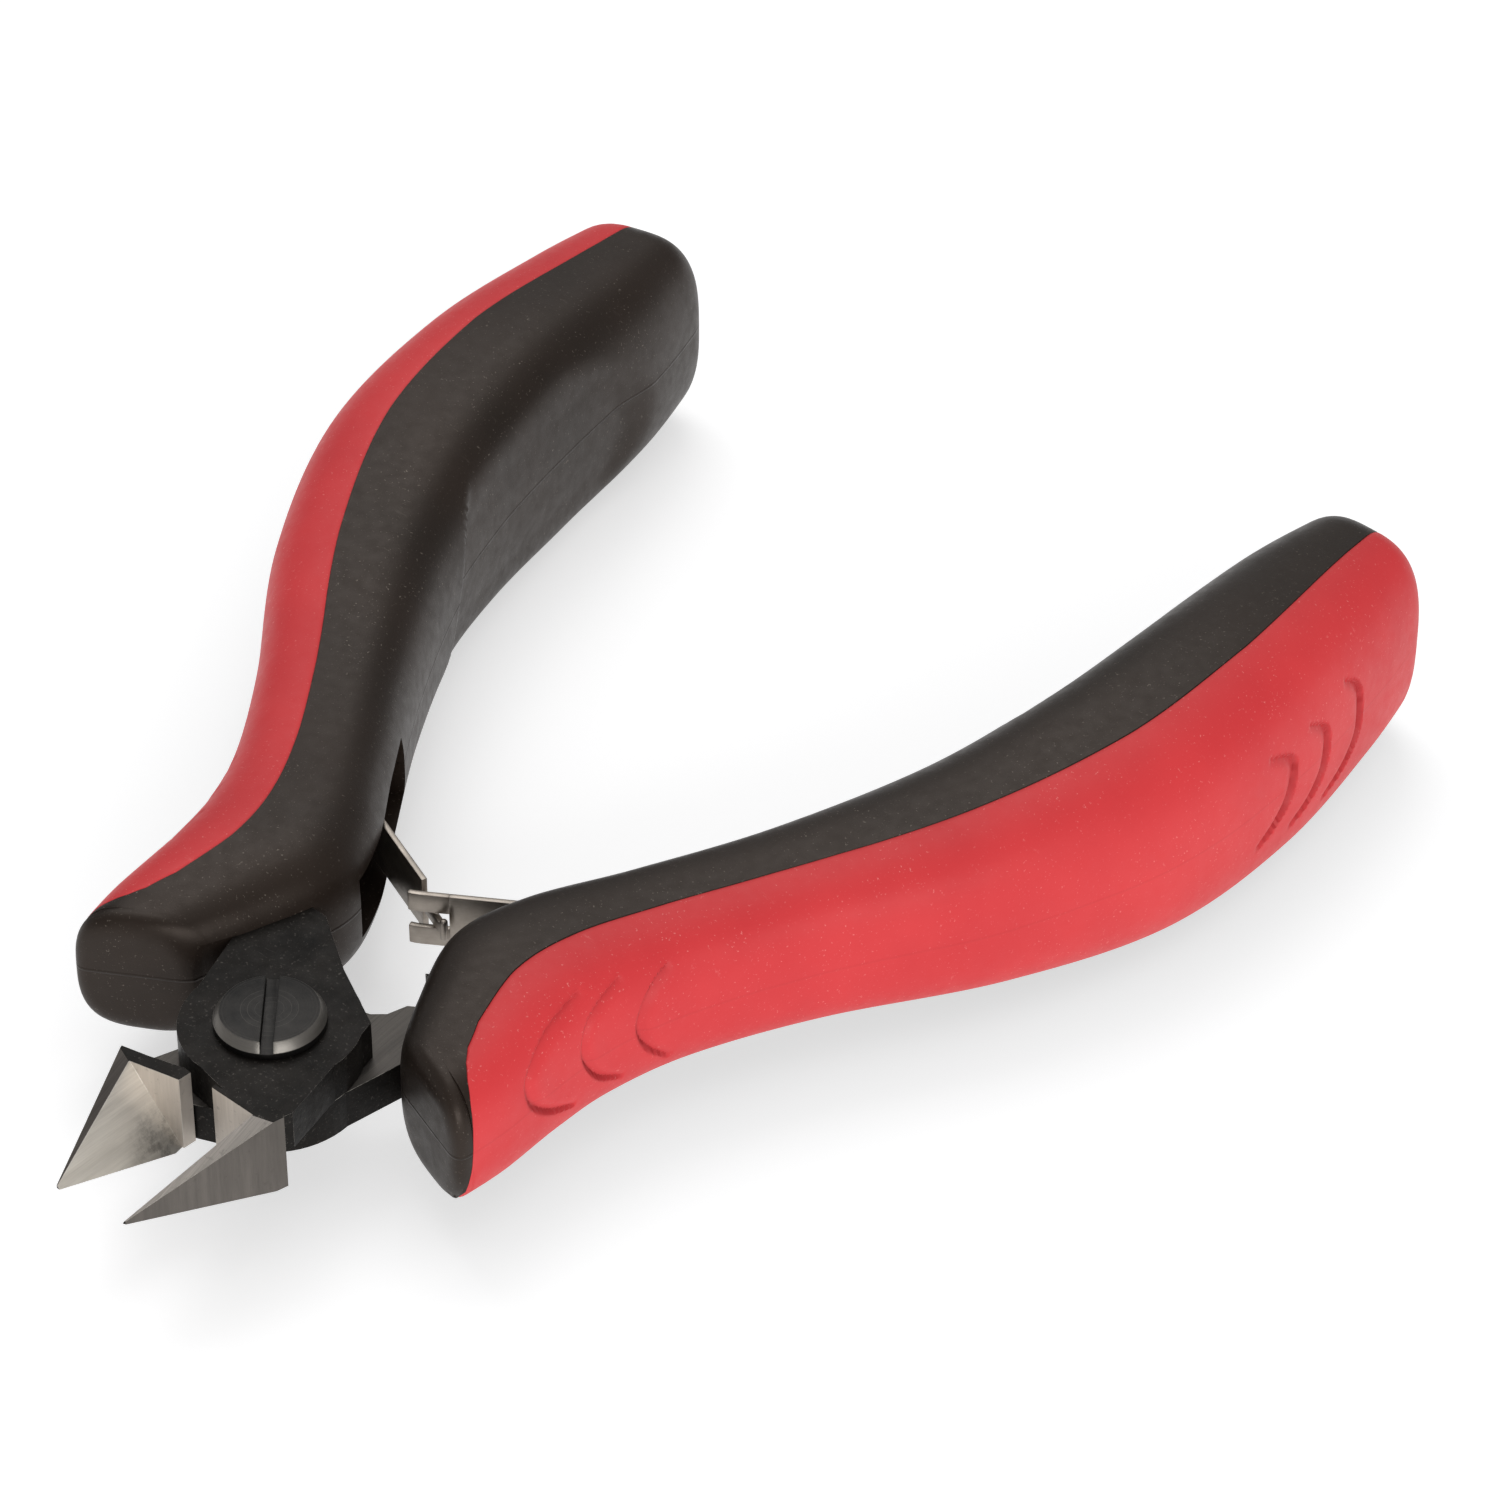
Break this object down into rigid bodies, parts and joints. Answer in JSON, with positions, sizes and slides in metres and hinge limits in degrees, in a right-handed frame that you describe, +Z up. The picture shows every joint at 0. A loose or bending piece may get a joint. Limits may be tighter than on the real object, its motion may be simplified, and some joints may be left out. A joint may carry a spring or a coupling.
{
  "type": "flush cutter",
  "caption": "Small flush cutter with pointed jaws, a lap joint on a slotted screw, two-colour soft grips and a hooked leaf spring pair.",
  "frame": {"origin": "middle of the open cutter's footprint, on the bench it lies on", "axes": "+Z up out of the bench, jaws toward -Y, handles toward +Y; the pivot axis is along Z, 38.25 mm toward the jaws"},
  "size_m": [0.0898, 0.1178, 0.0202],
  "materials": {
    "steel": "black oxide on forged steel, ground bright on the cutting bevels",
    "screw_steel": "black oxide, turned, with a bright chamfer",
    "black_grip": "matte soft moulding",
    "red_grip": "matte soft moulding",
    "spring_steel": "bright nickel"
  },
  "bodies": {
    "left": {"upper_half": "steel", "left_grip_core": "black_grip", "left_grip_cover": "red_grip", "left_spring_foot": "spring_steel", "left_spring_rivet": "spring_steel"},
    "right": {"lower_half": "steel", "pivot_screw": "screw_steel", "right_grip_core": "black_grip", "right_grip_cover": "red_grip", "right_spring_foot": "spring_steel", "right_spring_rivet": "spring_steel"},
    "left_leaf": {"left_spring_leaf": "spring_steel"},
    "right_leaf": {"right_spring_leaf": "spring_steel"}
  },
  "joints": [
    {"name": "handles", "type": "hinge", "parent": "left", "child": "right", "pos_m": [0, -0.03825, 0.01], "axis": [0, 0, 1], "range_deg": [0, 16.6], "stiffness_Nm_per_rad": 0.4, "springref_deg": -8.59},
    {"name": "left_leaf_bend", "type": "hinge", "parent": "left", "child": "left_leaf", "pos_m": [-0.01207, -0.01232, 0.01], "axis": [0, 0, 1], "range_deg": [-17.2, 0]},
    {"name": "right_leaf_bend", "type": "hinge", "parent": "right", "child": "right_leaf", "pos_m": [0.01207, -0.01232, 0.01], "axis": [0, 0, 1], "range_deg": [0, 17.2]}
  ],
  "couplings": [
    {"joint": "left_leaf_bend", "follows": "handles", "ratio": -1.036},
    {"joint": "right_leaf_bend", "follows": "handles", "ratio": 1.036}
  ]
}
